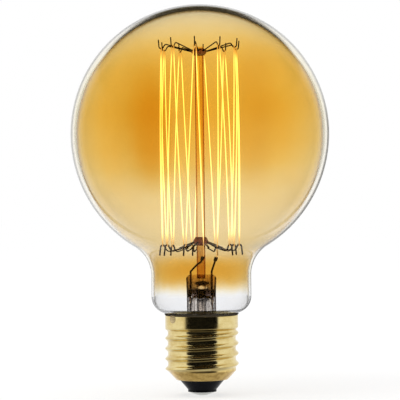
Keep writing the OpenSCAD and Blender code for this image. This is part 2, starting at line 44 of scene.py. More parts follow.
def polar(r, azimuth, z):
    a = math.radians(azimuth)
    return Vector((r * math.cos(a), r * math.sin(a), z))


def onCircle(centre, r, angle):
    a = math.radians(angle)
    return (centre[0] + r * math.cos(a), centre[1] + r * math.sin(a))


def arcPoints(centre, r, start, end, step):
    n = max(2, math.ceil(abs(end - start) / step))
    return [onCircle(centre, r, start + (end - start) * i / n) for i in range(n + 1)]


def smoothStep(low, high, v):
    u = min(max((v - low) / (high - low), 0), 1)
    return u * u * (3 - 2 * u)


# a curve through all of the points
def smoothPath(points, steps):
    last = len(points) - 1
    path = []
    for i in range(last):
        a, b = points[max(i - 1, 0)], points[i]
        c, d = points[i + 1], points[min(i + 2, last)]
        for j in range(steps):
            u = j / steps
            path.append((2 * b + (c - a) * u + (2 * a - 5 * b + 4 * c - d) * u * u
                         + (3 * b - a - 3 * c + d) * u ** 3) / 2)
    return path + [points[last]]


# a closed profile turned around Z, with single points where its radius is zero
def latheMesh(profile, turns):
    verts, rings = [], []
    for r, z in profile:
        if r < 1e-6:
            rings.append([len(verts)] * turns)
            verts.append((0, 0, z))
        else:
            rings.append(range(len(verts), len(verts) + turns))
            verts += [tuple(polar(r, 360 * j / turns, z)) for j in range(turns)]
    faces, strips = [], []
    for i, a in enumerate(rings):
        b = rings[(i + 1) % len(rings)]
        for j in range(turns):
            k = (j + 1) % turns
            corners = list(dict.fromkeys((a[j], b[j], b[k], a[k])))
            if len(corners) > 2:
                faces.append(corners)
                strips.append(i)
    return verts, faces, strips


# a round wire along a path, with domed ends
def wireMesh(path, r, sides=10):
    n = len(path)
    heads = []
    for i in range(n):
        before = (path[i] - path[i - 1]).normalized() if i else Vector()
        after = (path[i + 1] - path[i]).normalized() if i < n - 1 else Vector()
        heads.append((before + after).normalized())
    side = heads[0].orthogonal().normalized()
    stations = []
    for point, head in zip(path, heads):
        side = (side - side.dot(head) * head).normalized()
        stations.append((point, head, side.copy(), r))
    dome = [(0.5, 0.87), (0.87, 0.5)]   # shares of the radius along the wire and across it
    first, last = stations[0], stations[-1]
    start = [(first[0] - first[1] * r * d, first[1], first[2], r * k) for d, k in reversed(dome)]
    end = [(last[0] + last[1] * r * d, last[1], last[2], r * k) for d, k in dome]
    stations = start + stations + end
    verts, faces = [], []
    for point, head, side, ringR in stations:
        up = head.cross(side)
        for k in range(sides):
            a = 2 * math.pi * k / sides
            verts.append(tuple(point + ringR * (math.cos(a) * side + math.sin(a) * up)))
    for i in range(len(stations) - 1):
        for k in range(sides):
            m = (k + 1) % sides
            faces.append((i * sides + k, i * sides + m, (i + 1) * sides + m, (i + 1) * sides + k))
    faces.append(tuple(reversed(range(sides))))
    faces.append(tuple(range(len(verts) - sides, len(verts))))
    return verts, faces


def makePiece(name, mesh, materials, replaced, strips=None):
    data = bpy.data.meshes.new(name)
    data.from_pydata([(x * mm, y * mm, z * mm) for x, y, z in mesh[0]], [], mesh[1])
    data.polygons.foreach_set("use_smooth", [True] * len(data.polygons))
    for m in materials:
        data.materials.append(m)
    if strips:
        data.polygons.foreach_set("material_index", strips)
    data.validate()
    data.update()
    piece = bpy.data.objects.new(name, data)
    bpy.context.scene.collection.objects.link(piece)
    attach(piece, "root")
    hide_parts(*replaced)


# materials: a grain below is its size in millimetres, its detail and, where given, its roughness

noiseWide, noiseMain = (0.25, 0.75), (0.3, 0.7)   # where nearly all and where most of the noise lies
clearGlass = {"Roughness": 0.0, "Transmission_Weight": 1.0}


def newMaterial(name, **sockets):
    mat = bpy.data.materials.new(name)
    mat.use_nodes = True
    tree = mat.node_tree
    shader = tree.nodes["Principled BSDF"]
    for label, value in sockets.items():
        isColour = isinstance(value, tuple)
        shader.inputs[label.replace("_", " ")].default_value = (*value, 1) if isColour else value
    return mat, tree, shader


def addNode(tree, kind, **settings):
    node = tree.nodes.new(kind)
    for key, value in settings.items():
        setattr(node, key, value)
    return node


def mathNode(tree, operation, a, b=None):
    node = addNode(tree, "ShaderNodeMath", operation=operation)
    for socket, value in zip(node.inputs, (a, b)):
        if isinstance(value, (int, float)):
            socket.default_value = value
        elif value is not None:
            tree.links.new(value, socket)
    return node.outputs[0]


def squareSum(tree, a, b):
    return mathNode(tree, "ADD", mathNode(tree, "MULTIPLY", a, a), mathNode(tree, "MULTIPLY", b, b))


def objectPoint(tree, scale=(1, 1, 1)):
    place = addNode(tree, "ShaderNodeTexCoord")
    stretch = addNode(tree, "ShaderNodeMapping")
    stretch.inputs["Scale"].default_value = scale
    tree.links.new(place.outputs["Object"], stretch.inputs["Vector"])
    return stretch.outputs["Vector"]


def placeOf(tree):
    split = addNode(tree, "ShaderNodeSeparateXYZ")
    tree.links.new(objectPoint(tree), split.inputs[0])
    return split.outputs


def heightOf(tree):
    return placeOf(tree)["Z"]


# noise with features of about the given size along x, y and z
def grain(tree, size, detail, roughness=0.5):
    size = size if isinstance(size, tuple) else (size, size, size)
    tex = addNode(tree, "ShaderNodeTexNoise")
    tex.inputs["Scale"].default_value = 1
    tex.inputs["Detail"].default_value = detail
    tex.inputs["Roughness"].default_value = roughness
    tree.links.new(objectPoint(tree, tuple(1 / (s * mm) for s in size)), tex.inputs["Vector"])
    return tex.outputs["Fac"]


def mapRange(tree, value, fromLow, fromHigh, toLow, toHigh, smooth=False):
    node = addNode(tree, "ShaderNodeMapRange", interpolation_type="SMOOTHSTEP" if smooth else "LINEAR")
    tree.links.new(value, node.inputs["Value"])
    for label, v in zip(("From Min", "From Max", "To Min", "To Max"), (fromLow, fromHigh, toLow, toHigh)):
        node.inputs[label].default_value = v
    return node.outputs["Result"]


# a soft step between two lengths in millimetres
def overLengths(tree, value, lengths, toLow=0, toHigh=1):
    return mapRange(tree, value, *(v * mm for v in lengths), toLow, toHigh, True)


# 1 in the middle of an oval in the front view, down to 0 at the end of its soft edge
def ovalFactor(tree, x, z, halfWidth, halfHeight, softEdge):
    place = placeOf(tree)
    across = mathNode(tree, "DIVIDE", mathNode(tree, "SUBTRACT", place["X"], x * mm), halfWidth * mm)
    up = mathNode(tree, "DIVIDE", mathNode(tree, "SUBTRACT", place["Z"], z * mm), halfHeight * mm)
    return mapRange(tree, squareSum(tree, across, up), *softEdge, 1, 0, True)


def facing(tree):
    weight = addNode(tree, "ShaderNodeLayerWeight")
    weight.inputs["Blend"].default_value = 0.5
    return weight.outputs["Facing"]


def colourMix(tree, factor, a, b):
    node = addNode(tree, "ShaderNodeMix", data_type="RGBA")
    tree.links.new(factor, node.inputs["Factor"])
    for socket, value in zip((node.inputs[6], node.inputs[7]), (a, b)):
        if isinstance(value, tuple):
            socket.default_value = (*value, 1)
        else:
            tree.links.new(value, socket)
    return node.outputs[2]


# a colour multiplied by a tint as far as the amount goes
def tinted(tree, amount, colour, tint):
    node = addNode(tree, "ShaderNodeMix", data_type="RGBA", blend_type="MULTIPLY")
    tree.links.new(amount, node.inputs["Factor"])
    tree.links.new(colour, node.inputs[6])
    node.inputs[7].default_value = (*tint, 1)
    return node.outputs[2]


# a colour that is tinted where the view grazes the surface: on the glass below this is mostly painted shade
# along the outlines
def darkRim(tree, colour, edges, tint, share=None, end=None):
    amount = mapRange(tree, facing(tree), *edges, 0, 1, True)
    if end is not None:
        amount = mathNode(tree, "MULTIPLY", amount, mapRange(tree, facing(tree), *end, 1, 0, True))
    if share is not None:
        amount = mathNode(tree, "MULTIPLY", amount, share)
    return tinted(tree, amount, colour, tint)


# colours at heights, which are in millimetres
def heightRamp(tree, height, stops, interpolation="LINEAR"):
    low, high = stops[0][0], stops[-1][0]
    ramp = addNode(tree, "ShaderNodeValToRGB")
    bar = ramp.color_ramp
    bar.interpolation = interpolation
    while len(bar.elements) < len(stops):
        bar.elements.new(1.0)
    for stop, (z, colour) in zip(bar.elements, stops):
        stop.position = (z - low) / (high - low)
        stop.color = (*colour, 1)
    tree.links.new(mapRange(tree, height, low * mm, high * mm, 0, 1), ramp.inputs["Fac"])
    return ramp.outputs["Color"]


def bumpFrom(tree, shader, height, strength, distance):
    node = addNode(tree, "ShaderNodeBump")
    node.inputs["Strength"].default_value = strength
    node.inputs["Distance"].default_value = distance * mm
    tree.links.new(height, node.inputs["Height"])
    tree.links.new(node.outputs["Normal"], shader.inputs["Normal"])


# two colours and two roughnesses, mixed by one grain
def speckled(name, grainSize, colours, rough, **sockets):
    mat, tree, shader = newMaterial(name, **sockets)
    speck = grain(tree, *grainSize)
    tree.links.new(colourMix(tree, speck, *colours), shader.inputs["Base Color"])
    tree.links.new(mapRange(tree, speck, *noiseMain, *rough), shader.inputs["Roughness"])
    return mat, tree, shader, speck


def dress(material, *names):
    for name in names:
        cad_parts[name].data.materials.clear()
        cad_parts[name].data.materials.append(material)


# stage: camera, world, floor, key light

view = {
    "distance": 750,          # from the bulb's axis
    "pixel": 0.356,           # size of one pixel at the axis
    "pixels": 400,
    "middle": (-0.16, 69.5),  # x and z in the middle of the frame
    "roll": -0.57,            # the bulb leans a little to the left
    "sensor": 36,
    "clip": (0.01, 50),       # in metres
    "bounces": 32,            # light passes many faces of glass
}


def makeCamera():
    cam = bpy.data.cameras.new("camera")
    cam.sensor_width = view["sensor"]
    cam.lens = cam.sensor_width * view["distance"] / (view["pixel"] * view["pixels"])
    cam.clip_start, cam.clip_end = view["clip"]
    rig = bpy.data.objects.new("camera", cam)
    x, z = view["middle"]
    rig.location = (x * mm, -view["distance"] * mm, z * mm)
    rig.rotation_mode = "XYZ"
    rig.rotation_euler = (math.radians(90), 0, 0)
    rig.rotation_euler.rotate_axis("Z", math.radians(view["roll"]))
    bpy.context.scene.collection.objects.link(rig)
    bpy.context.scene.camera = rig


# each pair is a soft edge, in degrees from the front or the back, or as the sine of the elevation
studio = {
    # what metal reflects: white all round, a dark flag in front and a grey table far below
    "flag": (50, 56),
    "flagLow": (-0.999, -0.94),
    "flagHigh": (0.9, 0.985),
    "flagShade": ((0.15, 0.135, 0.11), (0.004, 0.004, 0.004)),   # low down, and above
    "flagDim": (-0.6, -0.3),
    "table": 0.55,
    "tableEdge": (-0.9, -0.3),
    # what shines off glass: dark round the front and white behind, with dark strips beside the panel
    "gloom": (122, 150),
    "glossLow": (-0.85, -0.5),
    "glossHigh": (0.45, 0.85),
    "glossCeiling": (30, 60),
    "stripEnd": (36, 39),
    # a dim stand behind on the right: its left and right edge by x, its top, its shade
    "stand": ((0.12, 0.17), (0.36, 0.42), (0.04, 0.14), 0.6),
    # what is seen through glass: a white panel behind, dim walls beside it, a dark ceiling,
    # a white table far below and the room in front
    "panel": (30.5, 33),
    "ceiling": (0.37, 0.45),
    "tableTop": (-0.55, -0.35),
    "wallShade": (0.5, 0.48, 0.42),
    "room": (0.7, 0.69, 0.67),
    "dark": (0.05, 0.037, 0.018),
    # soft light from the upper left, in watts and metres, and the height that it is aimed at
    "key": 1.6,
    "keySize": 0.5,
    "keyPlace": (-0.45, -0.35, 0.75),
    "keyAim": 70,
    "floor": (0.42, 0.58),   # how much the floor reflects, and how bright it is by itself
    "floorHalf": 6.0,        # half its width, in metres
}


# white for the camera and for soft light, and the studio for what metal and glass reflect or let through
def makeWorld():
    world = bpy.data.worlds.new("studio")
    bpy.context.scene.world = world
    world.use_nodes = True
    tree = world.node_tree
    tree.nodes.clear()
    out = addNode(tree, "ShaderNodeOutputWorld")
    shine = addNode(tree, "ShaderNodeBackground")
    tree.links.new(shine.outputs[0], out.inputs[0])
    ray = addNode(tree, "ShaderNodeLightPath").outputs
    split = addNode(tree, "ShaderNodeSeparateXYZ")
    tree.links.new(addNode(tree, "ShaderNodeTexCoord").outputs["Generated"], split.inputs[0])
    x, y, z = (split.outputs[i] for i in range(3))
    level = mathNode(tree, "SQRT", squareSum(tree, x, y))
    back = mathNode(tree, "DIVIDE", y, mathNode(tree, "ADD", level, 1e-5))
    front = mathNode(tree, "MULTIPLY", back, -1.0)

    def within(value, angles):
        return mapRange(tree, value, *(math.cos(math.radians(a)) for a in reversed(angles)), 0, 1, True)

    def rise(edges):
        return mapRange(tree, z, *edges, 0, 1, True)

    def fall(edges):
        return mapRange(tree, z, *edges, 1, 0, True)

    def allOf(*factors):
        product = factors[0]
        for factor in factors[1:]:
            product = mathNode(tree, "MULTIPLY", product, factor)
        return product

    def without(factor):
        return mathNode(tree, "SUBTRACT", 1.0, factor)

    s = studio
    white, dark = (1, 1, 1), s["dark"]
    ahead, panel = within(front, s["flag"]), within(back, s["panel"])
    underCeiling = fall(s["ceiling"])

    flag = allOf(ahead, rise(s["flagLow"]), fall(s["flagHigh"]))
    metal = colourMix(tree, rise(s["tableEdge"]), (s["table"],) * 3, white)
    metal = colourMix(tree, flag, metal, colourMix(tree, rise(s["flagDim"]), *s["flagShade"]))

    strips = allOf(within(back, s["stripEnd"]), without(panel))
    ceiling = allOf(within(back, s["glossCeiling"]), rise(s["ceiling"]))
    left, right, top, shade = s["stand"]
    stand = allOf(mapRange(tree, x, *left, 0, shade, True), mapRange(tree, x, *right, 1, 0, True), fall(top))
    gloss = allOf(without(within(front, s["gloom"])), rise(s["glossLow"]), fall(s["glossHigh"]),
                  without(ceiling), without(strips), without(stand))
    sharp = colourMix(tree, gloss, dark, white)

    table = allOf(fall(s["tableTop"]), without(ahead))
    through = colourMix(tree, allOf(without(ahead), underCeiling), dark, s["wallShade"])
    through = colourMix(tree, mathNode(tree, "MAXIMUM", allOf(panel, underCeiling), table), through, white)
    through = colourMix(tree, allOf(ahead, underCeiling), through, s["room"])

    mirrored = colourMix(tree, ray["Is Singular Ray"], metal, sharp)
    seen = colourMix(tree, ray["Is Transmission Ray"], mirrored, through)
    bent = allOf(mathNode(tree, "MAXIMUM", ray["Is Glossy Ray"], ray["Is Transmission Ray"]),
                 mathNode(tree, "LESS_THAN", ray["Diffuse Depth"], 0.5), without(ray["Is Camera Ray"]))
    tree.links.new(colourMix(tree, bent, white, seen), shine.inputs["Color"])


def makeFloor():
    half = studio["floorHalf"]
    corners = [(-half, -half, 0), (half, -half, 0), (half, half, 0), (-half, half, 0)]
    data = bpy.data.meshes.new("floor")
    data.from_pydata(corners, [], [(0, 1, 2, 3)])
    floor = bpy.data.objects.new("floor", data)
    bpy.context.scene.collection.objects.link(floor)
    share, shine = studio["floor"]
    paper = newMaterial("floorPaper", Roughness=0.9, Specular_IOR_Level=0.0, Emission_Strength=shine,
                        Base_Color=(share, share, share), Emission_Color=(1, 1, 1))[0]
    data.materials.append(paper)
    floor.visible_glossy = False
    floor.visible_transmission = False


def makeKey():
    lamp = bpy.data.lights.new("softKey", "AREA")
    lamp.energy = studio["key"]
    lamp.size = studio["keySize"]
    rig = bpy.data.objects.new("softKey", lamp)
    rig.location = studio["keyPlace"]
    aim = Vector((0, 0, studio["keyAim"] * mm)) - rig.location
    rig.rotation_euler = aim.to_track_quat("-Z", "Y").to_euler()
    rig.visible_glossy = False
    rig.visible_transmission = False
    bpy.context.scene.collection.objects.link(rig)


makeCamera()
makeWorld()
makeFloor()
makeKey()
print("stage ready")


# blown glass with an amber coat on its inside

bulbGlass = {
    "globeR": 46, "swell": 1.0, "globeWall": 2.15,
    "neckR": 17.8, "neckWall": 1.0, "footWall": 0.4, "neckH": 7.4,
    "shoulderR": 12, "bowlR": 6.2, "bowlX": 11.6, "bowlZ": 35.34,
    "sealR": 10.6, "sealFillet": 1.5, "sealZ": 19.7,
    "turns": 180, "globeStep": 1.5, "shoulderStep": 2,   # steps of arcs in degrees
    "bowlSteps": 32, "thinSteps": 20,                    # the wall thins to the foot's over the first of them
    "filletArc": (4, 6),                                 # degrees left free after the bowl, and to a step
    "ior": 1.47,
}

amberCoat = {
    "absorb": (0.041, 0.325, 1.0),  # how much the coat takes of red, green and blue
    "greenLoss": 0.017,             # and how much less of green where it is thick
    "outerShare": 0.16,             # share of the tint seen at the outer face
    # height and density of the coat
    "density": ((35.6, 0), (36.9, 0.3), (38.4, 1.0), (40.4, 2.25), (44.6, 3.2), (48.8, 2.3), (52.5, 1.35),
                (58, 1.1), (66, 1.18), (73, 1.55), (80, 2.35), (87, 3.0), (94, 3.45), (102, 4.1),
                (108, 3.95), (116, 3.85), (121.5, 3.3), (125.7, 2.6), (131, 1.75), (136, 1.35)),
    # painted light: how much the tint fades where the view grazes, so that the sides look paler, from one
    # share to another between two heights
    "sidePaling": ((66, 82), 0.0, 0.9),
    "neckSidePaling": ((50, 56), 0.65, 0.0),
    "waver": 0.9,                   # unevenness of its heights, in millimetres
    "waverGrain": ((6, 6, 9), 3.0),
    "cloud": 0.07,                  # and of its density
    "cloudGrain": ((16, 16, 22), 3.0),
    "tilt": 0.045,                  # rise of its heights for each millimetre to the right
    "tiltZ": (50, 70),              # and where that sets in
    # spots of painted reflection and light: a darker one left of the cage, a dark reflection, and a paler one
    # over the middle: x, z, half width and height, extra density
    "spots": ((-17, 93, 9, 24, 0.30), (0.5, 92, 20, 44, -0.15)),
    "spotEdge": (0, 1),
    # tints, darker and redder beside the cage as a painted dark reflection, and duller in the neck: x, z,
    # half width and height, tint
    "shadeAndTintWashes": ((-20, 97, 14, 32, (0.90, 0.92, 1.0)), (19, 100, 9, 30, (0.94, 0.93, 1.0)),
               (0, 45.5, 60, 8.5, (0.85, 0.86, 1.0))),
    "washEdge": (0.2, 1),
    # graze, edge and foot darken the glass where the view grazes it: painted shade, the dark outlines that
    # dark surroundings give; on the inside it is partly the longer path through the coat
    "graze": ((0.76, 0.88), (0.40, 0.26, 0.08)),     # tint where the view grazes the inside
    "edge": ((0.79, 0.85), (0.08, 0.08, 0.08)),      # and the outside, up to where it ends again
    "edgeEnd": (0.90, 0.95),
    "crown": ((0.70, 0.76), (0.035, 0.028, 0.012)),  # and the crown
    "crownEnd": (0.80, 0.87),
    "crownZ": (128, 135),                            # heights between which that sets in
    "foot": ((0.62, 0.82), (0.05, 0.05, 0.055)),     # and the rounded foot
    "footWash": (0.97, 0.98, 1.0),                   # clouds of this in the foot
    "footGrain": (5, 2.0),
    "glass": (0.98, 0.98, 0.99),                     # the glass itself
    "gleam": (0.5, 0.25, 0.05),                      # tint of what the coat reflects
}


# outline from the crown down to the neck, with the walls' thickness taken off
def domeProfile(globeIn, neckIn):
    g = bulbGlass
    shoulderX = g["neckR"] + g["shoulderR"]
    drop = math.sqrt((g["globeR"] + g["swell"] + g["shoulderR"]) ** 2 - (shoulderX + g["swell"]) ** 2)
    globeZ = g["bowlZ"] + g["neckH"] + drop
    domeR, hollowR = g["globeR"] - globeIn, g["shoulderR"] + neckIn
    reach = domeR + hollowR
    swell = (shoulderX ** 2 + drop ** 2 - reach ** 2) / (reach - shoulderX) / 2
    turn = math.degrees(math.atan2(drop, shoulderX + swell))
    step, bend = g["globeStep"], g["shoulderStep"]
    return (arcPoints((0, globeZ), domeR, 90, 0, step)
            + arcPoints((-swell, globeZ), domeR + swell, -step, -turn, step)
            + arcPoints((shoulderX, globeZ - drop), hollowR, 180 - turn + bend, 180, bend))


# outline from the neck round the foot to the sealed end
def tailProfile(neckIn, footIn):
    g = bulbGlass
    filletX = g["sealR"] + g["sealFillet"]
    turn = math.degrees(math.acos((filletX - g["bowlX"]) / (g["bowlR"] + g["sealFillet"])))
    filletZ = g["bowlZ"] - (g["bowlR"] + g["sealFillet"]) * math.sin(math.radians(turn))
    bowl = []
    for i in range(g["bowlSteps"] + 1):
        wall = neckIn + (footIn - neckIn) * smoothStep(0, g["thinSteps"], i)
        bowl.append(onCircle((g["bowlX"], g["bowlZ"]), g["bowlR"] - wall, -turn * i / g["bowlSteps"]))
    free, step = g["filletArc"]
    fillet = arcPoints((filletX, filletZ), g["sealFillet"] + footIn, 180 - turn + free, 180, step)
    return bowl + fillet + [(g["sealR"] - footIn, g["sealZ"])]


# the coat's colour by height, to the power of its local density
def coatColour(tree, share, glass=(1, 1, 1)):
    c = amberCoat
    place = placeOf(tree)
    waver, cloud = c["waver"] * mm, c["cloud"]
    waver = mapRange(tree, grain(tree, *c["waverGrain"]), *noiseWide, -waver, waver)
    tilt = mapRange(tree, place["Z"], *(z * mm for z in c["tiltZ"]), 0, c["tilt"])
    height = mathNode(tree, "SUBTRACT", mathNode(tree, "ADD", place["Z"], waver),
                      mathNode(tree, "MULTIPLY", place["X"], tilt))
    red, green, blue = c["absorb"]
    stops = []
    for z, density in c["density"]:
        takes = red, green - c["greenLoss"] * density, blue
        stops.append((z, tuple(g * math.exp(-a * density * share) for a, g in zip(takes, glass))))
    power = addNode(tree, "ShaderNodeGamma")
    tree.links.new(heightRamp(tree, height, stops, "CARDINAL"), power.inputs["Color"])
    clouds = mapRange(tree, grain(tree, *c["cloudGrain"]), *noiseWide, 1 - cloud, 1 + cloud)
    # painted dark reflection and painted light, as extra density in spots
    for *oval, extra in c["spots"]:
        spot = mathNode(tree, "MULTIPLY", ovalFactor(tree, *oval, c["spotEdge"]), extra)
        clouds = mathNode(tree, "ADD", clouds, spot)
    # painted light: the coat's tint fades where the view grazes it, paler towards the outline
    sidePaling = mathNode(tree, "ADD", overLengths(tree, height, *c["sidePaling"]),
                       overLengths(tree, height, *c["neckSidePaling"]))
    paintedPaling = mathNode(tree, "MULTIPLY", facing(tree), sidePaling)
    clouds = mathNode(tree, "MULTIPLY", clouds, mathNode(tree, "SUBTRACT", 1.0, paintedPaling))
    tree.links.new(clouds, power.inputs["Gamma"])
    colour = power.outputs["Color"]
    # painted reflection beside the cage, and a duller neck
    for *oval, tint in c["shadeAndTintWashes"]:
        wash = mathNode(tree, "MULTIPLY", ovalFactor(tree, *oval, c["washEdge"]), share)
        colour = tinted(tree, wash, colour, tint)
    return colour


def makeBulbGlass():
    g, c = bulbGlass, amberCoat
    dome, tail = domeProfile(0, 0), tailProfile(0, 0)
    inner = domeProfile(g["globeWall"], g["neckWall"]) + tailProfile(g["neckWall"], g["footWall"])
    verts, faces, strips = latheMesh(dome + tail + inner[::-1], g["turns"])
    footStart, footEnd = len(dome), len(dome) + 2 * len(tail) - 1
    side = [0 if i < footStart else 2 if i < footEnd else 1 for i in strips]
    share = c["outerShare"]

    clear, tree, shader = newMaterial("blownGlass", **clearGlass, IOR=g["ior"])
    # painted shade: a dark outline where the view grazes the outer face
    colour = darkRim(tree, coatColour(tree, share, c["glass"]), *c["edge"], end=c["edgeEnd"])
    crown = overLengths(tree, heightOf(tree), c["crownZ"])
    colour = darkRim(tree, colour, *c["crown"], crown, c["crownEnd"])
    tree.links.new(colour, shader.inputs["Base Color"])

    coat, tree, shader = newMaterial("amberCoat", **clearGlass, IOR=g["ior"], Specular_Tint=c["gleam"])
    # where the view grazes the inside the coat darkens: partly its longer path, partly painted shade
    colour = darkRim(tree, coatColour(tree, 1 - share), *c["graze"])
    tree.links.new(colour, shader.inputs["Base Color"])

    foot, tree, shader = newMaterial("footGlass", **clearGlass, IOR=g["ior"])
    wash = colourMix(tree, grain(tree, *c["footGrain"]), c["footWash"], c["glass"])
    # painted shade: a dark outline where the view grazes the foot
    tree.links.new(darkRim(tree, wash, *c["foot"]), shader.inputs["Base Color"])

    makePiece("globeGlass", (verts, faces), [clear, coat, foot],
              ["glass_envelope", "amber_lining"], side)


makeBulbGlass()
print("bulb glass done")


# glass stem: flared tube with its press, exhaust tube, rod and beads

stem = {
    "ior": 1.07, "gleam": (0.6, 0.55, 0.5),
    # height and tint of the stem's glass: clear low down, near black round the seal as painted shade of the
    # dark inside of the cap seen in the press, browner and clearer above
    "tint": ((29, (0.88, 0.84, 0.80)), (34.6, (0.86, 0.82, 0.78)), (35.3, (0.03, 0.02, 0.02)),
             (37.4, (0.012, 0.008, 0.008)), (38.2, (0.25, 0.16, 0.07)), (40.6, (0.42, 0.28, 0.14)),
             (42.4, (0.62, 0.46, 0.28)), (43.2, (0.80, 0.66, 0.46))),
    "waver": 0.6, "waverGrain": ((1.6, 1.6, 3), 2.0),   # unevenness of those heights
    "streaks": 0.75, "streakGrain": ((1.3, 1.3, 14), 3.0), "streakRange": (0.36, 0.52),
    # painted shade over the blow hole and a painted patch of light on it: x, z, half width and height, tint
    "holeShade": (0.2, 39.9, 2.7, 0.75, (0.012, 0.006, 0.004)),
    "holeLight": (0.2, 38.3, 1.9, 0.6, (0.72, 0.62, 0.5)),
    "spotEdge": (0.6, 1.3),
    # painted shade: this colour darkens upright faces where the view grazes them, as dark surroundings would,
    # and also colours the dark streaks
    "edge": (0.02, 0.012, 0.01),    # dark streaks, and edges where an upright face is grazed
    "edgeRange": (0.3, 0.6),
    "upright": (0.3, 0.6),
    "rodIor": 1.22,
    "rod": ((0.95, 0.82, 0.62), (1.0, 0.97, 0.92)), "rodGrain": ((1, 1, 18), 2.0),
    # the edge tint below is painted shade: dark brown where the view grazes the rod, as a glass rod shows
    # dark surroundings
    "rodEdgeShade": ((0.18, 0.42), (0.44, 0.11, 0.006)),
    # by height: browner below the lower bead, more orange in the upper half
    "rodTints": (((56, 54), (0.66, 0.46, 0.24)), ((66, 96), (0.92, 0.74, 0.30))),
    "bead": ((0.06, 0.010, 0.006), (0.26, 0.06, 0.04)), "beadGrain": (1.2, 3.0),
}


def stemMaterial():
    s = stem
    mat, tree, shader = newMaterial("stemGlass", **clearGlass, IOR=s["ior"], Specular_Tint=s["gleam"])
    waver = mapRange(tree, grain(tree, *s["waverGrain"]), *noiseMain, -s["waver"] * mm, s["waver"] * mm)
    colour = heightRamp(tree, mathNode(tree, "ADD", heightOf(tree), waver), s["tint"])
    streak = mapRange(tree, grain(tree, *s["streakGrain"]), *s["streakRange"], 1 - s["streaks"], 1, True)
    colour = colourMix(tree, streak, s["edge"], colour)
    # painted shade over the blow hole and painted light on it
    for *oval, tint in (s["holeShade"], s["holeLight"]):
        colour = colourMix(tree, ovalFactor(tree, *oval, s["spotEdge"]), colour, tint)
    normal = addNode(tree, "ShaderNodeSeparateXYZ")
    tree.links.new(addNode(tree, "ShaderNodeNewGeometry").outputs["Normal"], normal.inputs[0])
    upright = mapRange(tree, mathNode(tree, "ABSOLUTE", normal.outputs["Z"]), *s["upright"], 1, 0, True)
    # painted shade along upright faces where the view grazes them
    colour = darkRim(tree, colour, s["edgeRange"], s["edge"], upright)
    tree.links.new(colour, shader.inputs["Base Color"])
    return mat


def rodMaterial():
    mat, tree, shader = newMaterial("rodGlass", **clearGlass, IOR=stem["rodIor"])
    colour = colourMix(tree, grain(tree, *stem["rodGrain"]), *stem["rod"])
    for heights, tint in stem["rodTints"]:
        colour = tinted(tree, overLengths(tree, heightOf(tree), heights), colour, tint)
    # painted dark edges where the view grazes the rod
    tree.links.new(darkRim(tree, colour, *stem["rodEdgeShade"]), shader.inputs["Base Color"])
    return mat


def beadMaterial():
    mat, tree, shader = newMaterial("brownGlass", Roughness=0.1, IOR=1.5, Coat_Weight=0.4)
    colour = colourMix(tree, grain(tree, *stem["beadGrain"]), *stem["bead"])
    tree.links.new(colour, shader.inputs["Base Color"])
    return mat


dress(stemMaterial(), "stem_flare", "exhaust_tube")
dress(rodMaterial(), "support_rod")
dress(beadMaterial(), "upper_button", "lower_button")
print("stem done")


# filament cage

cage = {
    "hooks": 10, "start": -60, "seatR": 13.7, "rootR": 1.87,   # start is the azimuth of the first hook
    "upperZ": 122.16, "lowerZ": 56.0,                          # where the hooks leave the beads
    "upperWireR": 0.21, "lowerWireR": 0.29, "hookR": 0.8, "kneeR": 0.9,
    "fall": 60, "rise": 85,                                    # slopes from the knee down and to the tip
    "upperSlope": 15, "lowerSlope": 21, "upperDrop": 1.5, "lowerDrop": 2.3, "upperTip": 2.3, "lowerTip": 3.4,
    "kneeStep": 9, "seatStep": 11,                             # steps of their arcs in degrees
    "filamentR": 0.17, "filamentSides": 8,
    "turnR": 0.44, "turnSteps": 8,                             # round turns over the hooks
    "bow": 0.5, "strandSteps": 10,                             # strands bow out a little
}


# side view of a hook: sloping arm, knee, seat and tip, with the seat's lowest point at zero
def hookProfile(slope, drop, tip):
    c = cage
    fallCos, fallSin = math.cos(math.radians(c["fall"])), math.sin(math.radians(c["fall"]))
    rise = math.radians(c["rise"])
    seat = (c["seatR"], c["hookR"])
    fall = (drop - (c["kneeR"] + c["hookR"]) * (1 - fallCos)) / fallSin
    x, y = onCircle(seat, c["hookR"], -90 - c["fall"])
    knee = (x - fall * fallCos - c["kneeR"] * fallSin, y + fall * fallSin - c["kneeR"] * fallCos)
    start = onCircle(knee, c["kneeR"], 90 + slope)
    rootZ = start[1] - (start[0] - c["rootR"]) * math.tan(math.radians(slope))
    x, y = onCircle(seat, c["hookR"], c["rise"] - 90)
    end = (x + tip * math.cos(rise), y + tip * math.sin(rise))
    return ([(c["rootR"], rootZ)] + arcPoints(knee, c["kneeR"], 90 + slope, 90 - c["fall"], c["kneeStep"])
            + arcPoints(seat, c["hookR"], -90 - c["fall"], c["rise"] - 90, c["seatStep"]) + [end])


upperHook = hookProfile(cage["upperSlope"], cage["upperDrop"], cage["upperTip"])
lowerHook = hookProfile(cage["lowerSlope"], cage["lowerDrop"], cage["lowerTip"])
upperSeat = cage["upperZ"] - upperHook[0][1]
lowerSeat = cage["lowerZ"] + lowerHook[0][1]
hookStep = 360 / cage["hooks"]

# two colours, how metallic and how shiny
wireLooks = {
    "supportWire": (((0.004, 0.0025, 0.001), (0.016, 0.009, 0.004)), 0.0, 0.03),
    "leadWire": (((0.006, 0.003, 0.002), (0.03, 0.014, 0.008)), 0.2, 0.2),
    "clampMetal": (((0.005, 0.004, 0.004), (0.02, 0.016, 0.014)), 0.3, 0.2),
    "copperWire": (((0.20, 0.07, 0.03), (0.50, 0.22, 0.11)), 0.9, 0.2),
}
wireGrain, wireRough = (0.5, 3.0), (0.35, 0.6)


def wireMaterial(name):
    colours, metallic, shine = wireLooks[name]
    return speckled(name, wireGrain, colours, wireRough, Metallic=metallic, Specular_IOR_Level=shine)[0]


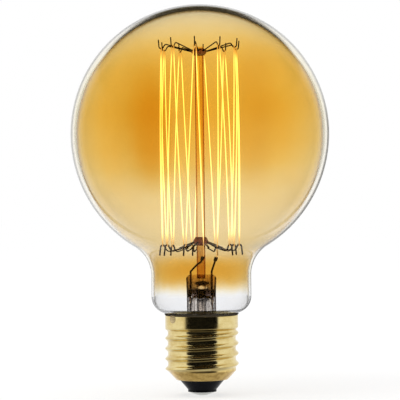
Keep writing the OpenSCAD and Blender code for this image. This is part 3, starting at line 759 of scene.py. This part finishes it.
# the lower hooks stand upside down between the upper ones
def makeSupports():
    mat = wireMaterial("supportWire")
    rows = (("upper", cage["hooks"], 0, upperHook, upperSeat, 1, cage["upperWireR"]),
            ("lower", cage["hooks"] - 1, 0.5, lowerHook, lowerSeat, -1, cage["lowerWireR"]))
    for row, count, shift, hook, seatZ, up, wireR in rows:
        for k in range(count):
            azimuth = cage["start"] + (k + shift) * hookStep
            path = [polar(r, azimuth, seatZ + up * z) for r, z in hook]
            makePiece(f"{row}Hook{k + 1}", wireMesh(path, wireR), [mat],
                      [f"{row}_support_{k + 1}"])


leads = {
    "x": 3.75, "sealTop": 43.5, "r": 0.36, "bendSteps": 8,
    "leftClamp": Vector((0.5, -3.6, 49.4)), "leftDir": Vector((0.35, -0.1, 1)).normalized(),
    "leftBend": Vector((-1.5, -3.6, 46.8)),
    "rightClamp": Vector((5.2, -1.8, 49.0)), "rightDir": Vector((0.3, -0.25, 1)).normalized(),
    "clampL": 1.6, "leadGap": 0.03, "filamentGap": 0.06,   # the ends stop short of the clamps' middles
}


def filamentPath():
    c, l = cage, leads
    turns = []
    for k in range(2 * c["hooks"] - 1):
        azimuth = c["start"] + k * hookStep / 2
        z, over = (upperSeat, 1) if k % 2 == 0 else (lowerSeat, -1)
        across = Vector((-math.sin(math.radians(azimuth)), math.cos(math.radians(azimuth)), 0))
        turn = []
        for i in range(c["turnSteps"] + 1):
            a = math.pi * (1 - i / c["turnSteps"])
            turn.append(polar(c["seatR"], azimuth, z)
                        + c["turnR"] * (math.cos(a) * across + over * math.sin(a) * Vector((0, 0, 1))))
        turns.append(turn)

    def strand(a, b):
        points, steps = [], c["strandSteps"]
        for i in range(1, steps):
            p = a + (b - a) * i / steps
            points.append(p + c["bow"] * math.sin(math.pi * i / steps) * Vector((p.x, p.y, 0)).normalized())
        return points

    gap, reach = l["filamentGap"], l["clampL"]
    start = [l["rightClamp"] + gap * l["rightDir"], l["rightClamp"] + reach * l["rightDir"]]
    end = [l["leftClamp"] + reach * l["leftDir"], l["leftClamp"] + gap * l["leftDir"]]
    path = start + strand(start[1], turns[0][0])
    for k, turn in enumerate(turns):
        path += turn
        if k < len(turns) - 1:
            path += strand(turn[-1], turns[k + 1][0])
    return path + strand(turns[-1][-1], end[0]) + end


glow = {
    "hot": (1.0, 0.84, 0.42), "cool": (1.0, 0.6, 0.2), "strength": 2.6, "coolStrength": 0.8,
    "fade": 5.0,                                        # the hooks cool the ends of the strands this far
    "grain": ((2, 2, 9), 2.0), "uneven": (0.85, 1.0),
    "carbon": (0.05, 0.04, 0.03),
}


def makeFilament():
    mat, tree, shader = newMaterial("glowingCarbon", Roughness=0.6, Base_Color=glow["carbon"])
    z = heightOf(tree)
    low, high, fade = lowerSeat * mm, upperSeat * mm, glow["fade"] * mm
    heat = mathNode(tree, "MULTIPLY", mapRange(tree, z, low, low + fade, 0, 1, True),
                    mapRange(tree, z, high - fade, high, 1, 0, True))
    uneven = mapRange(tree, grain(tree, *glow["grain"]), *noiseMain, *glow["uneven"])
    heat = mathNode(tree, "MULTIPLY", heat, uneven)
    strength = mapRange(tree, heat, 0, 1, glow["coolStrength"], glow["strength"])
    tree.links.new(colourMix(tree, heat, glow["cool"], glow["hot"]), shader.inputs["Emission Color"])
    tree.links.new(strength, shader.inputs["Emission Strength"])
    mesh = wireMesh(filamentPath(), cage["filamentR"], cage["filamentSides"])
    makePiece("carbonFilament", mesh, [mat], ["filament"])


makeSupports()
makeFilament()
print("cage done")


# leads, clamps and sealed wires

def makeLeads():
    l = leads
    mat = wireMaterial("leadWire")
    for name, x, bends, clamp, heading in (("left", -l["x"], [l["leftBend"]], l["leftClamp"], l["leftDir"]),
                                           ("right", l["x"], [], l["rightClamp"], l["rightDir"])):
        start = Vector((x, 0, l["sealTop"]))
        curve = [start + Vector((0, 0, 2 * l["r"]))] + bends + [clamp - l["clampL"] * heading]
        path = [start] + smoothPath(curve, l["bendSteps"]) + [clamp - l["leadGap"] * heading]
        makePiece(f"leadWire_{name}", wireMesh(path, l["r"]), [mat], [f"lead_wire_{name}"])


makeLeads()
dress(wireMaterial("clampMetal"), "filament_clamp_left", "filament_clamp_right")
dress(wireMaterial("copperWire"), "seal_wire_left", "seal_wire_right", "side_lead", "centre_lead")
print("leads done")


# brass screw cap

cap = {
    "crestR": 13.1, "depth": 1.0, "pitch": 3.629, "wall": 0.35, "collarR": 13.0,
    "lipZ": 5.7, "lipR": 8.1, "taperZ": 8.9, "taperIn": 2.9, "taperPower": 1.05,
    "collarZ": 23.8, "rimZ": 28.6, "fade": 0.6,
    "leftCrest": 11.8,                          # depth of a crest on the left below the rim
    "turns": 240, "row": 0.16, "taperRows": 14, "rimStep": 30,
    "collarRow": 1.6, "rimRows": (1.2, 0.5),    # rows of points above the thread and below the rim
}

brass = {
    # pale and deep colour, roughness of both, how metallic
    "rolledBrass": ((0.79, 0.66, 0.32), (0.65, 0.49, 0.19), (0.10, 0.20), 1.0),
    "cementedInside": ((0.86, 0.85, 0.82), (0.66, 0.65, 0.62), (0.7, 0.9), 0.0),
    "plateBrass": ((0.75, 0.58, 0.30), (0.55, 0.38, 0.15), (0.2, 0.35), 1.0),
    "tinnedBrass": ((0.60, 0.48, 0.26), (0.40, 0.29, 0.14), (0.55, 0.7), 0.3),
    # the grains that make its tone, and their shares
    "blotch": ((5, 5, 3), 4.0, 0.6), "lines": ((14, 14, 0.12), 2.0), "shares": (0.7, 0.3),
    "toneRange": (0.35, 0.65), "lineBump": (0.12, 0.03),
    # browner, mottled brass towards the bottom of the taper: partly tarnish, partly painted shade where the
    # taper faces down
    "stainAndShade": ((0.50, 0.31, 0.075), (0.74, 0.49, 0.145)), "stainZ": (8.2, 10.2), "stainShare": 0.9,
    "stainGrain": ((2.2, 2.2, 1.6), 4.0, 0.6), "stainRange": (0.38, 0.6),
}


def shellRadius(z, azimuth):
    c = cap
    body = c["crestR"] - c["depth"]
    if z < c["taperZ"]:
        body -= c["taperIn"] * ((c["taperZ"] - z) / (c["taperZ"] - c["lipZ"])) ** c["taperPower"]
    phase = 2 * math.pi * (z - c["rimZ"] + c["leftCrest"]) / c["pitch"] - math.radians(azimuth - 180)
    crest = ((1 + math.cos(phase)) / 2) ** 2 * smoothStep(c["taperZ"] - c["fade"], c["taperZ"] + c["fade"], z)
    collar = smoothStep(c["collarZ"] - c["fade"], c["collarZ"] + c["fade"], z)
    return (body + c["depth"] * crest) * (1 - collar) + c["collarR"] * collar


def brassMaterial(name):
    b = brass
    pale, deep, (paleRough, deepRough), metallic = b[name]
    mat, tree, shader = newMaterial(name, Metallic=metallic)
    blotch, lines = grain(tree, *b["blotch"]), grain(tree, *b["lines"])
    blotchShare, lineShare = b["shares"]
    tone = mathNode(tree, "ADD", mathNode(tree, "MULTIPLY", blotch, blotchShare),
                    mathNode(tree, "MULTIPLY", lines, lineShare))
    tone = mapRange(tree, tone, *b["toneRange"], 0, 1, True)
    # painted shade with tarnish: browner towards the bottom of the taper
    stainAndShade = overLengths(tree, heightOf(tree), b["stainZ"], b["stainShare"], 0)
    spots = mapRange(tree, grain(tree, *b["stainGrain"]), *b["stainRange"], 0, 1, True)
    colour = colourMix(tree, stainAndShade, colourMix(tree, tone, deep, pale), colourMix(tree, spots, *b["stainAndShade"]))
    tree.links.new(colour, shader.inputs["Base Color"])
    tree.links.new(mapRange(tree, tone, 0, 1, deepRough, paleRough), shader.inputs["Roughness"])
    bumpFrom(tree, shader, lines, *b["lineBump"])
    return mat


def makeShell():
    c = cap
    n, wall, half = c["turns"], c["wall"], c["wall"] / 2
    threadTop = c["collarZ"] + c["fade"]
    rows = math.ceil((threadTop - c["taperZ"]) / c["row"])
    heights = [c["lipZ"] + (c["taperZ"] - c["lipZ"]) * i / c["taperRows"] for i in range(c["taperRows"])]
    heights += [c["taperZ"] + (threadTop - c["taperZ"]) * i / rows for i in range(rows + 1)]
    heights += [c["collarZ"] + c["collarRow"]] + [c["rimZ"] - drop for drop in c["rimRows"]]
    lip = [(c["lipR"], c["lipZ"] + wall), (c["lipR"], c["lipZ"])]
    rim = arcPoints((c["collarR"] - half, c["rimZ"] - half), half, 0, 180, c["rimStep"])
    inside = [max(z, c["lipZ"] + wall) for z in heights[::-3]]
    verts = []
    for j in range(n):
        a = 360 * j / n
        ring = lip + [(shellRadius(z, a), z) for z in heights] + rim
        ring += [(shellRadius(z, a) - wall, z) for z in inside]
        verts += [tuple(polar(r, a, z)) for r, z in ring]
    loop = len(lip) + len(heights) + len(rim) + len(inside)
    outside = len(lip) + len(heights) + (len(rim) + 1) // 2
    faces, side = [], []
    for j in range(n):
        k = (j + 1) % n
        for i in range(loop):
            m = (i + 1) % loop
            faces.append((j * loop + i, k * loop + i, k * loop + m, j * loop + m))
            side.append(0 if i < outside else 1)
    materials = [brassMaterial("rolledBrass"), brassMaterial("cementedInside")]
    makePiece("screwShell", (verts, faces), materials, ["cap_shell"], side)


cement = {
    "foot": 24.42, "r": 12.6, "lap": 13.15, "turns": 120,
    "topZ": 29.4,                                           # it follows the glass up to here
    "gap": 0.04, "inset": 0.1, "lipRise": (0.55, 0.3),      # clear of the glass, inside the rim and over it
    # the dark and pale speckle below make the cement near the rim nearly black: a painted shadow of the gap
    # between rim and glass
    "dark": (0.03, 0.024, 0.016), "pale": (0.08, 0.065, 0.045), "speck": (0.4, 4.0), "bump": (0.5, 0.1),
    "under": (0.42, 0.41, 0.37), "underR": (12.3, 12.7),    # paler under the glass, within these radii
}


# cement squeezed up between the rim and the glass, dark near the rim as painted shadow of the gap and paler
# under the glass
def makeCement():
    c = cement
    gap, inset, rimZ = c["gap"], c["inset"], cap["rimZ"]
    lipTop, lipFoot = c["lipRise"]
    glassSide = [(r + gap, z - gap) for r, z in tailProfile(0, 0) if z < c["topZ"] and r < c["lap"]]
    capSide = [(c["lap"] + gap, rimZ + lipTop), (c["lap"], rimZ + lipFoot),
               (cap["collarR"] - inset, rimZ + gap), (c["r"], rimZ - inset),
               (c["r"], c["foot"]), (bulbGlass["sealR"] + gap, c["foot"])]
    profile = glassSide[-2::-1] + capSide   # without the sealed end, which is lower than the cement
    mesh = latheMesh(profile, c["turns"])[:2]
    mat, tree, shader = newMaterial("shadowDarkCement", Roughness=0.9, Specular_IOR_Level=0.1)
    speck = grain(tree, *c["speck"])
    place = placeOf(tree)
    fromAxis = mathNode(tree, "SQRT", squareSum(tree, place["X"], place["Y"]))
    under = overLengths(tree, fromAxis, c["underR"], 1, 0)
    colour = colourMix(tree, under, colourMix(tree, speck, c["dark"], c["pale"]), c["under"])
    tree.links.new(colour, shader.inputs["Base Color"])
    bumpFrom(tree, shader, speck, *c["bump"])
    makePiece("cementRing", mesh, [mat], ["capping_cement"])


# black glass under the shell, and the solder on its contact

insulator = {
    "colours": ((0.002, 0.002, 0.003), (0.006, 0.006, 0.008)), "rough": (0.18, 0.34), "grain": (1.5, 3.0),
    "ior": 1.5, "shine": 0.06,
}
solder = {
    "colours": ((0.55, 0.55, 0.53), (0.82, 0.82, 0.79)), "rough": (0.3, 0.55), "grain": (0.8, 4.0),
    "metallic": 0.85, "bump": (0.25, 0.08),
}


def insulatorMaterial():
    return speckled("blackGlass", insulator["grain"], insulator["colours"], insulator["rough"],
                    IOR=insulator["ior"], Specular_IOR_Level=insulator["shine"])[0]


def solderMaterial():
    mat, tree, shader, speck = speckled("greySolder", solder["grain"], solder["colours"], solder["rough"],
                                        Metallic=solder["metallic"])
    bumpFrom(tree, shader, speck, *solder["bump"])
    return mat


makeShell()
makeCement()
dress(brassMaterial("plateBrass"), "contact_plate")
dress(insulatorMaterial(), "cap_insulator")
dress(solderMaterial(), "contact_solder")
dress(brassMaterial("tinnedBrass"), "side_solder")
print("cap done")


scene = bpy.context.scene
scene.view_settings.view_transform = "Standard"
scene.cycles.max_bounces = view["bounces"]
scene.cycles.transmission_bounces = view["bounces"]
scene.cycles.transparent_max_bounces = view["bounces"]
